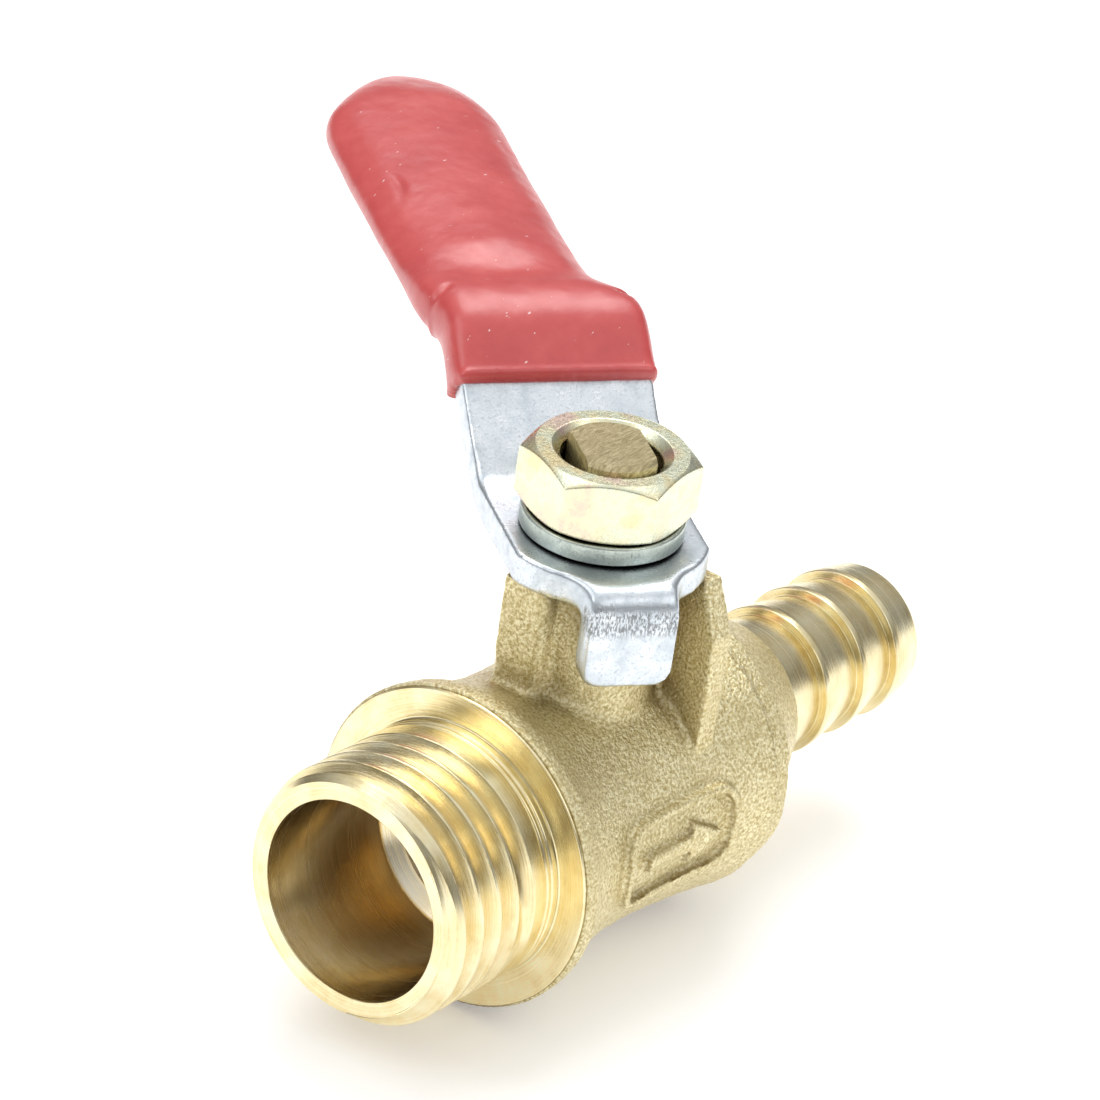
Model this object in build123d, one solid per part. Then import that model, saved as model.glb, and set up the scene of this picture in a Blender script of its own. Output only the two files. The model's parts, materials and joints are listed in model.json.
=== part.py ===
from build123d import *
import math
import os

# Small brass ball valve: 1/4 inch male pipe thread on one end, hose barb on the other.
# Frame: X is the flow axis (thread at -X, barb at +X) and +Z runs up the stem.
# The origin is on the flow axis, in the shoulder face that the thread screws up to.
# The lever is drawn part open. Its hinge runs from closed (across the pipe) to open (along it).

# ---- driving dimensions, mm and degrees ----
THREAD_R = 6.578          # crest radius of the 1/4 inch pipe thread, 19 threads per inch
FRONT_X = -7.7            # front face of the threaded end
FRONT_FACE_R = 5.9        # the front chamfer runs from here out to the crests
FRONT_CHAMFER = 0.7

INLET_R = 5.13
LIP_X = (0.7, 1.4, 1.9)   # bore end, lip edge and lip back
LIP_R = 4.4
CAVITY_R = 5.6
TAIL_SOCKET_R = 6.2
TAIL_SOCKET_X = 13.4

SHOULDER_R = 8.3
JOINT_X = 15.9            # where the hose tail's flange meets the body
JOINT_R = 7.7
BARREL_WAIST = ((3.0, 7.5), (6.0, 7.02), (9.0, 7.0), (13.0, 7.3))   # (x, radius)

FLANGE_END_X = 17.1
CONE_R = (7.2, 4.4)
CONE_END_X = 22.0
BARB_START_X = 22.5
BARB_CREST_R = 3.9
BARB_ROOT_R = 3.46
BARB_TIP_R = 3.3
BARB_LAND = 0.35
BARB_TIP_CHAMFER = (0.4, 0.3)   # along and across
BARB_START_DROP = 0.05
BARB_X = (25.1, 28.2, 31.0)   # steep faces of the ridges, which face the body
BARB_END_X = 33.6
OUTLET_R = 2.5
SPIGOT_GAP = 0.05
THROAT_R = 3.6            # wide end of the tail's throat, at the seat
THROAT_END_X = 14.8

STEM_X = 8.5              # the stem's axis
BALL_R = 5.3
BALL_PORT_R = 2.9
SEAT_R = 5.55
SEAT_INNER_R = 3.6
SEAT_NEAR = 3.0           # seat faces, measured from the ball's centre
OUTLET_SEAT_FAR = 4.8
SEAT_GAP = 0.02

STEM_R = 2.45
STEM_GAP = 0.03
COLLAR_R = 2.9            # stays between the seats
COLLAR_Z = (5.42, 6.0)
COLLAR_POCKET_R = 2.95
WASHER_T = 0.35
TANG_T = 1.9
TANG_W = 4.6
TANG_Z = 3.8
STEM_TOP_Z = 19.3
STEM_THREAD_R = 2.42
STEM_FLAT = 1.75          # half the distance across the stem's two flats
STEM_END_CHAMFER = 0.2
FIT_GAP = 0.03            # lever eye and nut on the stem, each side
TANG_GAP = 0.05
RING_GROOVE_GAP = 0.05
RING_SECTION_R = 0.41
RING_CENTRE_R = 2.06
RING_Z = (8.2, 10.6)

NECK_TOP_Z = 13.0
NECK_CORE_R = 3.7
NECK_BACK_R = 4.1
BLOCK_X = -4.75           # flat-sided left part of the neck, measured from the stem
BLOCK_Y = (-0.75, 1.85)
BLOCK_EDGE_R = 0.35
FIN_X = (2.3, 3.7)        # stop for the closed position, with its (y, z) outline
FIN_OUTLINE = ((0, 3), (-5.95, 3), (-6.03, 5.4), (-6.07, 10.2), (-5.0, NECK_TOP_Z), (0, NECK_TOP_Z))

LEVER_ANGLE = 35          # lever direction, turned from +Y towards +X
LEVER_T = 1.5
LEVER_W = 9.7
LEVER_Z = 13.2            # underside of the lever's flat eye
EYE_R = 5.3
EYE_NECK_X = 3.5          # the eye's round outline turns in towards the tab here
EYE_ARC_ANGLE = -38       # a point on the eye's outline, from the right
TAB_ROOT = ((0.42, -4.75), (0.0, -5.7))   # (beyond the tab's side, y) where the eye runs into the tab
RISE_START = 5.0          # distances from the stem axis along the lever
RISE_END = 12.3
RISE = 5.3
LEVER_END = 36.0
HANDLE_RISE = 0.45        # the handle climbs this much more by its tip
HANDLE_W = 7.4
SHOULDER_START = 12.6     # the right edge steps in here
SHOULDER_END = 15.4
TAB_W = 4.45
TAB_OUTER = 6.4
TAB_BOTTOM_Z = 9.6
TAB_CORNER_R = 0.8
TAB_BEND_R = 1.2

SLEEVE_START = 9.8
SLEEVE_WALL = 0.75        # above and below the strip
SLEEVE_SNUG = 5.15        # half the sleeve's width on the riser
SLEEVE_LEFT = -5.75       # its sides on the handle, measured across the lever
SLEEVE_RIGHT = 3.4
SLEEVE_LEFT_STEP = (12.4, 14.4)   # the left side steps out between these
SLEEVE_TIP_START = (27.5, 28.0)   # where the left and right sides start to curve in
SLEEVE_TIP = ((2.9, 34.5), (-0.5, 37.9), (-4.4, 34.6))   # (across, along) on the lopsided round tip

LOCK_T = 1.2
LOCK_R = 4.05
LOCK_INNER_R = 2.55
LOCK_GAP = 0.9
LOCK_GAP_ANGLE = -50      # direction of the split, about the stem from +X
NUT_AF = 7.8
NUT_T = 3.2
NUT_ANGLE = 8             # direction of one corner, about the stem from +X
NUT_CHAMFER = (0.05, 0.34)   # in from the flats at the faces, and its height at the corners
NUT_MOUTH = 0.5

MARK_X = 8.8              # raised flow arrow on the side of the barrel
MARK_SIZE = (8.6, 4.8)
MARK_HEIGHT = 0.42
MARK_CORNER_R = 1.5
MARK_LINE = 0.45          # width of the frame round the arrow
ARROW_SHAFT = (3.4, 0.8)
ARROW_SHAFT_X = -0.8
ARROW_HEAD = ((0.8, 1.15), (3.0, 0), (0.8, -1.15))

# ---- worked out from the above ----
LEVER_TOP_Z = LEVER_Z + LEVER_T
NUT_Z = LEVER_TOP_Z + LOCK_T
BOTTOM = (Align.CENTER, Align.CENTER, Align.MIN)


def x_cylinder(radius, x0, x1):
    """Solid cylinder on the flow axis from x0 to x1."""
    return Plane((x0, 0, 0), z_dir=(1, 0, 0)) * Cylinder(radius, x1 - x0, align=BOTTOM)


def z_cylinder(radius, z0, z1):
    """Solid cylinder on the Z axis from z0 to z1."""
    return Pos(0, 0, z0) * Cylinder(radius, z1 - z0, align=BOTTOM)


def x_revolve(*points):
    """Revolve an (x, radius) outline about the flow axis."""
    face = make_face(Polyline(*[(x, 0, r) for x, r in points], close=True))
    return revolve(face, Axis.X, 360)


def box_between(low, high):
    size = [b - a for a, b in zip(low, high)]
    middle = [(a + b) / 2 for a, b in zip(low, high)]
    return Pos(*middle) * Box(*size)


def at_stem(shape):
    return Pos(STEM_X, 0, 0) * shape


def turned_with_lever(shape):
    """Place a shape drawn about the Z axis, with the lever along +Y, at the drawn lever angle."""
    return Pos(STEM_X, 0, 0) * Rot(0, 0, -LEVER_ANGLE) * shape


# ---- valve body ----
def barrel(extra=0.0):
    """Waisted barrel between the shoulder and the hose tail, grown outwards by extra."""
    waist = [(x, 0, r + extra) for x, r in BARREL_WAIST]
    start = (1.0, 0, SHOULDER_R + extra)
    end = (JOINT_X, 0, JOINT_R + extra)
    edges = [
        Line((0, 0, 0), (0, 0, SHOULDER_R + extra)),
        Line((0, 0, SHOULDER_R + extra), start),
        Spline(start, *waist, end),
        Line(end, (JOINT_X, 0, 0)),
        Line((JOINT_X, 0, 0), (0, 0, 0)),
    ]
    return revolve(make_face(edges), Axis.X, 360)


def threaded_end():
    """The male thread, as a plain cylinder at its crest radius."""
    chamfer_x = FRONT_X + FRONT_CHAMFER
    return x_revolve((FRONT_X, 0), (FRONT_X, FRONT_FACE_R), (chamfer_x, THREAD_R), (0, THREAD_R), (0, 0))


def neck():
    """Stem neck, with the fin that stops the lever's tab when the valve is closed."""
    core = z_cylinder(NECK_CORE_R, 0, NECK_TOP_Z)
    back = z_cylinder(NECK_BACK_R, 0, NECK_TOP_Z)
    back &= box_between((-NECK_BACK_R, BLOCK_Y[0], 0), (NECK_BACK_R, NECK_BACK_R, NECK_TOP_Z))
    block = box_between((BLOCK_X, BLOCK_Y[0], 0), (0, BLOCK_Y[1], NECK_TOP_Z))
    edge = block.edges().filter_by(Axis.Z).sort_by(lambda e: e.center().X + e.center().Y)[0]
    block = fillet(edge, BLOCK_EDGE_R)
    fin_side = make_face(Plane.YZ * Polyline(*FIN_OUTLINE, close=True))
    fin = extrude(fin_side, FIN_X[1] - FIN_X[0], dir=(1, 0, 0))
    return at_stem(core + back + block + Pos(FIN_X[0], 0, 0) * fin)


def flow_arrow():
    """Raised arrow in a rounded frame, following the barrel's -Y side."""
    length, height = MARK_SIZE
    inner = RectangleRounded(length - 2 * MARK_LINE, height - 2 * MARK_LINE, MARK_CORNER_R - MARK_LINE)
    frame = RectangleRounded(length, height, MARK_CORNER_R) - inner
    shaft = Pos(ARROW_SHAFT_X, 0) * Rectangle(*ARROW_SHAFT)
    head = make_face(Polyline(*ARROW_HEAD, close=True))
    side = Plane(origin=(MARK_X, -CAVITY_R - 0.5, 0), x_dir=(1, 0, 0), z_dir=(0, -1, 0))
    return extrude(side * (frame + shaft + head), 3) & barrel(MARK_HEIGHT)


def valve_body():
    body = barrel() + threaded_end() + neck() + flow_arrow()
    body -= x_cylinder(INLET_R, FRONT_X - 1, LIP_X[0])
    body -= x_revolve((LIP_X[0], 0), (LIP_X[0], INLET_R), (LIP_X[1], LIP_R), (LIP_X[2], LIP_R), (LIP_X[2], 0))
    body -= x_cylinder(CAVITY_R, LIP_X[2], TAIL_SOCKET_X)
    body -= x_cylinder(TAIL_SOCKET_R, TAIL_SOCKET_X, JOINT_X + 1)
    body -= at_stem(z_cylinder(COLLAR_POCKET_R, 0, COLLAR_Z[1] + WASHER_T + 0.02))
    body -= at_stem(z_cylinder(STEM_R + STEM_GAP, 0, NECK_TOP_Z + 1))
    return body


# ---- hose tail ----
def hose_tail():
    spigot_r = TAIL_SOCKET_R - SPIGOT_GAP
    outline = [
        (TAIL_SOCKET_X, 0), (TAIL_SOCKET_X, spigot_r), (JOINT_X, spigot_r), (JOINT_X, JOINT_R),
        (FLANGE_END_X, JOINT_R), (FLANGE_END_X, CONE_R[0]), (CONE_END_X, CONE_R[1]),
        (BARB_START_X, BARB_CREST_R - BARB_START_DROP),
    ]
    for ridge in BARB_X:
        outline += [(ridge, BARB_ROOT_R), (ridge, BARB_CREST_R), (ridge + BARB_LAND, BARB_CREST_R)]
    tip_x, tip_r = BARB_TIP_CHAMFER
    outline += [(BARB_END_X - tip_x, BARB_TIP_R + tip_r), (BARB_END_X, BARB_TIP_R), (BARB_END_X, 0)]
    throat = x_revolve(
        (TAIL_SOCKET_X, 0), (TAIL_SOCKET_X, THROAT_R), (THROAT_END_X, OUTLET_R), (THROAT_END_X, 0))
    return x_revolve(*outline) - throat - x_cylinder(OUTLET_R, THROAT_END_X, BARB_END_X + 1)


# ---- ball, seats and stem ----
def seat(side, far):
    """PTFE seat ring, side -1 at the inlet and +1 at the outlet, with a cup that the ball runs in."""
    cup_r = BALL_R + SEAT_GAP
    cup_start = math.sqrt(cup_r ** 2 - SEAT_NEAR ** 2)
    cup_end_x = math.sqrt(cup_r ** 2 - SEAT_INNER_R ** 2)
    middle = (math.atan2(cup_start, SEAT_NEAR) + math.atan2(SEAT_INNER_R, cup_end_x)) / 2

    def point(x, r):
        return (STEM_X + side * x, 0, r)

    outline = [
        ThreePointArc(
            point(SEAT_NEAR, cup_start),
            point(cup_r * math.cos(middle), cup_r * math.sin(middle)),
            point(cup_end_x, SEAT_INNER_R)),
        Line(point(cup_end_x, SEAT_INNER_R), point(far, SEAT_INNER_R)),
        Line(point(far, SEAT_INNER_R), point(far, SEAT_R)),
        Line(point(far, SEAT_R), point(SEAT_NEAR, SEAT_R)),
        Line(point(SEAT_NEAR, SEAT_R), point(SEAT_NEAR, cup_start)),
    ]
    return revolve(make_face(outline), Axis.X, 360)


def ball():
    port = Rot(90, 0, 0) * Cylinder(BALL_PORT_R, 4 * BALL_R)
    half = TANG_T / 2 + TANG_GAP
    slot = box_between((-half, -BALL_R, TANG_Z - 0.1), (half, BALL_R, BALL_R + 1))
    return turned_with_lever(Sphere(BALL_R) - port - slot)


def stem():
    shape = box_between((-TANG_T / 2, -TANG_W / 2, TANG_Z), (TANG_T / 2, TANG_W / 2, COLLAR_Z[0]))
    shape += z_cylinder(COLLAR_R, *COLLAR_Z)
    shape += z_cylinder(STEM_R, COLLAR_Z[1], NECK_TOP_Z)
    end = z_cylinder(STEM_THREAD_R, NECK_TOP_Z, STEM_TOP_Z)
    end = chamfer(end.edges().group_by(Axis.Z)[-1], STEM_END_CHAMFER)
    shape += end & box_between((-STEM_FLAT, -9, NECK_TOP_Z), (STEM_FLAT, 9, STEM_TOP_Z))
    groove_half = RING_SECTION_R + RING_GROOVE_GAP
    for z in RING_Z:
        groove = z_cylinder(STEM_R + 1, z - groove_half, z + groove_half)
        shape -= groove - z_cylinder(RING_CENTRE_R - RING_SECTION_R - 0.01, 0, STEM_TOP_Z)
    return turned_with_lever(shape)


def thrust_washer():
    z0 = COLLAR_Z[1] + 0.01
    return at_stem(z_cylinder(COLLAR_R, z0, z0 + WASHER_T) - z_cylinder(STEM_R + STEM_GAP, z0 - 1, z0 + 1))


def stem_o_ring(z):
    return at_stem(Pos(0, 0, z) * Torus(RING_CENTRE_R, RING_SECTION_R))


# ---- lever and sleeve, drawn along +Y ----
def shifted(line, distance):
    """Shift a chain of (y, z) points to its left by a distance, mitred at the corners."""
    normals = []
    for a, b in zip(line, line[1:]):
        length = math.dist(a, b)
        normals.append(((a[1] - b[1]) / length, (b[0] - a[0]) / length))
    result = []
    for i, (y, z) in enumerate(line):
        before = normals[max(i - 1, 0)]
        after = normals[min(i, len(normals) - 1)]
        mitre = (before[0] + after[0], before[1] + after[1])
        scale = 2 * distance / (mitre[0] ** 2 + mitre[1] ** 2)
        result.append((y + mitre[0] * scale, z + mitre[1] * scale))
    return result


def bent_strip(line, below, above):
    """Wide strip that follows a (y, z) line, from below it to above it."""
    side = make_face(Plane.YZ * Polyline(*shifted(line, -below), *reversed(shifted(line, above)), close=True))
    return extrude(side, 10, both=True)


def handle_plan(start):
    """Plan of the handle from start to its round end."""
    left = -LEVER_W / 2
    wide = LEVER_W / 2
    right = HANDLE_W - LEVER_W / 2
    radius = (right - left) / 2
    middle = (left + right) / 2
    return make_face([
        Line((left, start), (wide, start)),
        Line((wide, start), (wide, SHOULDER_START)),
        Spline((wide, SHOULDER_START), (right, SHOULDER_END), tangents=((0, 1), (0, 1))),
        Line((right, SHOULDER_END), (right, LEVER_END - radius)),
        ThreePointArc((right, LEVER_END - radius), (middle, LEVER_END), (left, LEVER_END - radius)),
        Line((left, LEVER_END - radius), (left, start)),
    ])


def sleeve_plan():
    """Plan of the sleeve: snug on the riser, fuller on the handle, with a lopsided round tip."""
    start = SLEEVE_START - 2
    step_start, step_end = SLEEVE_LEFT_STEP
    left_end, right_end = SLEEVE_TIP_START
    return make_face([
        Line((-SLEEVE_SNUG, start), (SLEEVE_SNUG, start)),
        Line((SLEEVE_SNUG, start), (SLEEVE_SNUG, SHOULDER_START)),
        Spline((SLEEVE_SNUG, SHOULDER_START), (SLEEVE_RIGHT, SHOULDER_END), tangents=((0, 1), (0, 1))),
        Line((SLEEVE_RIGHT, SHOULDER_END), (SLEEVE_RIGHT, right_end)),
        Spline((SLEEVE_RIGHT, right_end), *SLEEVE_TIP, (SLEEVE_LEFT, left_end), tangents=((0, 1), (0, -1))),
        Line((SLEEVE_LEFT, left_end), (SLEEVE_LEFT, step_end)),
        Spline((SLEEVE_LEFT, step_end), (-SLEEVE_SNUG, step_start), tangents=((0, -1), (0, -1))),
        Line((-SLEEVE_SNUG, step_start), (-SLEEVE_SNUG, start)),
    ])


def eye_plan():
    """Plan of the lever's eye: a round end that necks down to the tab."""
    half = LEVER_W / 2
    arc_y = -math.sqrt(EYE_R ** 2 - half ** 2)
    neck_y = -math.sqrt(EYE_R ** 2 - EYE_NECK_X ** 2)
    mid_angle = math.radians(EYE_ARC_ANGLE)
    (bulge, bulge_y), (_, root_y) = TAB_ROOT
    tab = TAB_W / 2
    edges = [Line((-half, RISE_START), (half, RISE_START)), Line((-tab, -TAB_OUTER), (tab, -TAB_OUTER))]
    for side in (-1, 1):
        edges += [
            Line((side * half, RISE_START), (side * half, arc_y)),
            ThreePointArc(
                (side * half, arc_y),
                (side * EYE_R * math.cos(mid_angle), EYE_R * math.sin(mid_angle)),
                (side * EYE_NECK_X, neck_y)),
            ThreePointArc((side * EYE_NECK_X, neck_y), (side * (tab + bulge), bulge_y), (side * tab, root_y)),
            Line((side * tab, root_y), (side * tab, -TAB_OUTER)),
        ]
    return make_face(edges)


def lever_line(start, end):
    """Underside of the strip in side view, from start to end along the lever."""
    slope = RISE / (RISE_END - RISE_START)
    line = [(RISE_END, LEVER_Z + RISE), (end, LEVER_Z + RISE + HANDLE_RISE)]
    if start < RISE_START:
        return [(start, LEVER_Z), (RISE_START, LEVER_Z)] + line
    return [(start, LEVER_Z + (start - RISE_START) * slope)] + line


def upright(plan):
    return Pos(0, 0, TAB_BOTTOM_Z) * extrude(plan, 20)


def lever():
    strip = bent_strip(lever_line(-TAB_OUTER, LEVER_END), 0, LEVER_T)
    plate = strip & (upright(eye_plan()) + upright(handle_plan(RISE_START)))
    half = TAB_W / 2
    tab = box_between((-half, -TAB_OUTER, TAB_BOTTOM_Z), (half, LEVER_T - TAB_OUTER, LEVER_TOP_Z))
    tab = fillet(tab.edges().filter_by(Axis.Y).group_by(Axis.Z)[0], TAB_CORNER_R)
    shape = plate + tab
    bend = shape.edges().filter_by(Axis.X).filter_by(
        lambda e: math.isclose(e.center().Y, -TAB_OUTER, abs_tol=0.01)
        and math.isclose(e.center().Z, LEVER_TOP_Z, abs_tol=0.01))
    shape = fillet(bend, TAB_BEND_R)
    hole = z_cylinder(STEM_THREAD_R + FIT_GAP, 0, 30) & Box(2 * (STEM_FLAT + FIT_GAP), 20, 80)
    return shape - hole


def lever_sleeve():
    """Vinyl sleeve over the handle, closed at the tip and open towards the stem."""
    tip = max(along for _, along in SLEEVE_TIP) + 1
    outer = bent_strip(lever_line(SLEEVE_START, tip), SLEEVE_WALL, LEVER_T + SLEEVE_WALL)
    outer &= upright(sleeve_plan())
    return outer - lever()


# ---- fasteners ----
def split_lock_washer():
    ring = z_cylinder(LOCK_R, LEVER_TOP_Z, NUT_Z) - z_cylinder(LOCK_INNER_R, LEVER_TOP_Z - 1, NUT_Z + 1)
    gap = box_between((0, -LOCK_GAP / 2, LEVER_TOP_Z - 1), (LOCK_R + 1, LOCK_GAP / 2, NUT_Z + 1))
    return at_stem(ring - Rot(0, 0, LOCK_GAP_ANGLE) * gap)


def hex_nut():
    corner_r = NUT_AF / math.sqrt(3)
    prism = Rot(0, 0, NUT_ANGLE) * extrude(RegularPolygon(corner_r, 6), NUT_T)
    inset, drop = NUT_CHAMFER
    edge_r = NUT_AF / 2 - inset
    crown = revolve(make_face(Plane.XZ * Polyline(
        (0, 0), (edge_r, 0), (corner_r, drop), (corner_r, NUT_T - drop), (edge_r, NUT_T), (0, NUT_T),
        close=True)), Axis.Z, 360)
    hole_r = STEM_THREAD_R + FIT_GAP
    hole = z_cylinder(hole_r, -1, NUT_T + 1)
    mouth = Pos(0, 0, NUT_T) * Cone(
        hole_r, STEM_THREAD_R + NUT_MOUTH, NUT_MOUTH, align=(Align.CENTER, Align.CENTER, Align.MAX))
    return Pos(STEM_X, 0, NUT_Z) * ((prism & crown) - hole - mouth)


nodes = {
    "valve_body": valve_body(),
    "hose_tail": hose_tail(),
    "inlet_seat": seat(-1, STEM_X - LIP_X[2]),
    "outlet_seat": seat(1, OUTLET_SEAT_FAR),
    "ball": ball(),
    "stem": stem(),
    "stem_thrust_washer": thrust_washer(),
    "stem_o_ring_lower": stem_o_ring(RING_Z[0]),
    "stem_o_ring_upper": stem_o_ring(RING_Z[1]),
    "lever": turned_with_lever(lever()),
    "lever_sleeve": turned_with_lever(lever_sleeve()),
    "split_lock_washer": split_lock_washer(),
    "hex_nut": hex_nut(),
}

os.makedirs("parts", exist_ok=True)
for name, shape in nodes.items():
    export_step(shape, f"parts/{name}.step")
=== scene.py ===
import json
import math

import bmesh
import bpy
import numpy as np
from mathutils import Matrix, Vector, noise


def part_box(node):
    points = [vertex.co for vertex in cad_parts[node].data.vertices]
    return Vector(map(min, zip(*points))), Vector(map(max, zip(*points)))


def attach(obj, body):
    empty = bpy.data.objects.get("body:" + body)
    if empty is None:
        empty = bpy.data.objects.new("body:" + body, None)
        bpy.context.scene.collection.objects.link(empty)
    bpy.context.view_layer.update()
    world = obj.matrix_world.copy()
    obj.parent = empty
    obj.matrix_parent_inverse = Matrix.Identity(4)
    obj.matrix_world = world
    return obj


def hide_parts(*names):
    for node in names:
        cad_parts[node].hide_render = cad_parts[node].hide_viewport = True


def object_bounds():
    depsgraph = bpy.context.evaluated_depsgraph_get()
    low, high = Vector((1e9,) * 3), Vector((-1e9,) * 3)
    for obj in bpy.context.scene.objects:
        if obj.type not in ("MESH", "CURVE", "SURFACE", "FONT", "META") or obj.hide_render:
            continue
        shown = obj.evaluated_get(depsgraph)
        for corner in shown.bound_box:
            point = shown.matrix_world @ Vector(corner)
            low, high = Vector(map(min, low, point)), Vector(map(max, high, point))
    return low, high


# Geometry is worked out in millimetres in the row frame and turned to metres when a piece is made.
# X is the flow axis with the thread at -X, and Z runs up the stem. "Along" and "across" are distances
# from the stem axis, along the lever and square to it.
MM = 0.001

# camera
CAMERA_AZIMUTH = -55.47
CAMERA_ELEVATION = 28.86
CAMERA_ROLL = 8.59
CAMERA_DISTANCE = 391.5
CAMERA_TARGET = (4.515, 0.0, 14.912)
CAMERA_LENS = 268.95
SENSOR_WIDTH = 36.0

# turned end
SHOULDER_R = 8.3
CREST_R = 6.578
PITCH = 1.337
GROOVE_DEPTH = 0.82
GROOVE_HALF = 0.59
GROOVE_POWER = 1.7        # 1 would be a straight-sided V
GROOVE_TURNS = 6
GROOVE_END_X = -2.3
GROOVE_END_ANGLE = 200.0
GROOVE_FADE = 55          # degrees over which the groove runs out
FINE_LINES_X = (-0.86, -0.5)
FINE_LINE = 0.07          # their depth and width
FRONT_R = 6.02            # outer radius of the front face
FRONT_BEVEL = 0.7
BORE_R = 5.13
BORE_SKIN = 0.02          # the bore's surface stands this far inside the CAD wall
LIP_R = 4.4
LIP_SKIN = 0.03
LIP_BEVEL_X = (0.68, 1.4)
LIP_END_X = 1.88
LINER_BACK = (1.85, 5.5)  # the hidden back of the bore's wall, in the casting
CUT_X = 0.15              # the turned end and the casting meet here, just behind the shoulder face
THREAD_ROW = 0.016        # spacing of mesh rows on the thread
THREAD_SEGMENTS = 560

# casting
CAVITY_R = 6.4            # surfaces nearer the flow axis than this are inside
CAVITY_TOP_Z = 6.2
STEM_HOLE_R = 2.9
FOOT_Z = (5.4, 6.2)       # the soft foot of the neck fades in here
FOOT_TOP_Z = 9.2
FOOT_TOP_FADE = 1.4
FOOT_Y = (-5.6, -4.2)
MARK_Y = -5.5             # the raised mark lies beyond this and is smoothed less
MARK_HALF_Z = 3.4
MARK_X = (3.8, 13.8)
MARK_SHARE = 0.35
NECK_Z = (6.5, 8.0)       # roughness turns from the flow axis to the stem axis here
RIM_END_X = 1.6           # the casting stays inside the shoulder's radius up to here

# hose tail
PLUG_R = 6.15             # the end inside the body
SEAT_R = 3.6
TAIL_BORE_R = 2.5
THROAT_X = 14.8
FLANGE_START = 7.62       # radius at the two ends of the flange
FLANGE_END = 7.66
FLANGE_X = 17.1
CONE = ((17.25, 7.1), (22.0, 4.45), (22.5, 3.86))
RIDGES_X = (25.1, 28.2, 31.0)
RIDGE_R = 3.9
RIDGE_ROOT_R = 3.46
RIDGE_W = 0.35
TAIL_TIP = 0.4
TAIL_TIP_R = (3.6, 3.3)

# lever and sleeve
STEM_EYE_R = 3.0
RISE_ALONG = 5.0          # the strip's first bend
TAB_BEND_ALONG = 5.6
HIDDEN_ALONG = (12.8, 14.8)   # the strip's edges get rounder from here on, inside the sleeve
TIP_ALONG = (30.0, 36.0)
TIP_DRAWN_IN = 0.7
STRIP_ALONG = (5.0, 12.3, 36.0)   # the strip's middle in side view, with STRIP_Z
STRIP_Z = (13.95, 19.25, 19.7)
RISER_COS = 0.809
RISER_SIN = 0.588
MOUTH_ALONG = 9.8
MOUTH_Z = 16.69
FILL_ALONG = 10.1         # the sleeve is solid from here on
SLEEVE_HALF = 1.5         # half its thickness
CROWN_ACROSS = -1.17
CROWN_HALF = 4.6
CROWN_RISE = 0.95
CROWN_LEVEL = 0.86
CROWN_END = 38.4

# fasteners
NUT_HALF_FLATS = 3.86
NUT_TURN = math.radians(8)
NUT_FACE_R = 2.95
NUT_BORE_R = 2.46
NUT_MOUTH_R = 2.5
NUT_THREAD_R = 2.49
NUT_PITCH = 0.8
NUT_GROOVE = 0.22
NUT_BEVEL_SLOPE = 1.72
NUT_BEVEL = 0.12
NUT_SHARPNESS = 22        # of the edge between flat and bevel
WASHER_INNER_R = 2.6
WASHER_OUTER_R = 4.03
WASHER_HALF = 0.5
WASHER_SPLIT = math.radians(-50)
WASHER_GAP = 0.1          # half the split, in radians
WASHER_LIFT = 0.09

# stage, in metres
FLOOR_GAP = 0.0001
FLOOR_HALF = 3.0
LIGHT_TARGET = (0.01, 0, 0.01)
SKY = ((0.0, 0.7), (0.50, 0.62), (0.56, 0.17), (0.70, 0.34), (0.86, 0.82), (1.0, 0.98))

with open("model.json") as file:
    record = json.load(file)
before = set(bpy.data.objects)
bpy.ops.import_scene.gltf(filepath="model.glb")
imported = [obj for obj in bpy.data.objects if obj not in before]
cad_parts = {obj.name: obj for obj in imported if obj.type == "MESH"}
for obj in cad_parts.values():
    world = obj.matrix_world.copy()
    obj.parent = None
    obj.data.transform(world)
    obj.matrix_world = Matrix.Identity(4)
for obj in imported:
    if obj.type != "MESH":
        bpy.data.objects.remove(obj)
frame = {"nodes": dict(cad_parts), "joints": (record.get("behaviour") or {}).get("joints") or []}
cad_low, cad_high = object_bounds()
FRONT_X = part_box("valve_body")[0].x / MM
TAIL_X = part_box("hose_tail")[0].x / MM
TAIL_END_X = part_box("hose_tail")[1].x / MM
JOINT_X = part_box("valve_body")[1].x / MM
STEM_X = frame["joints"][0]["pos_m"][0] / MM
LEVER_ANGLE = math.radians(35)
ALONG = Vector((math.sin(LEVER_ANGLE), math.cos(LEVER_ANGLE), 0))
ACROSS = Vector((ALONG.y, -ALONG.x, 0))


# ---------------------------------------------------------------- mesh helpers
def make_piece(name, points, faces, body, node, smooth_angle):
    """Mesh object from points in mm, riding on a body in place of a CAD node."""
    mesh = bpy.data.meshes.new(name)
    mesh.from_pydata((points * MM).tolist(), [], faces)
    mesh.validate()
    obj = bpy.data.objects.new(name, mesh)
    bpy.context.scene.collection.objects.link(obj)
    work = bmesh.new()
    work.from_mesh(mesh)
    bmesh.ops.recalc_face_normals(work, faces=work.faces)
    work.to_mesh(mesh)
    work.free()
    mesh.shade_smooth()
    mesh.set_sharp_from_angle(angle=math.radians(smooth_angle))
    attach(obj, body)
    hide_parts(node)
    return obj


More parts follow.
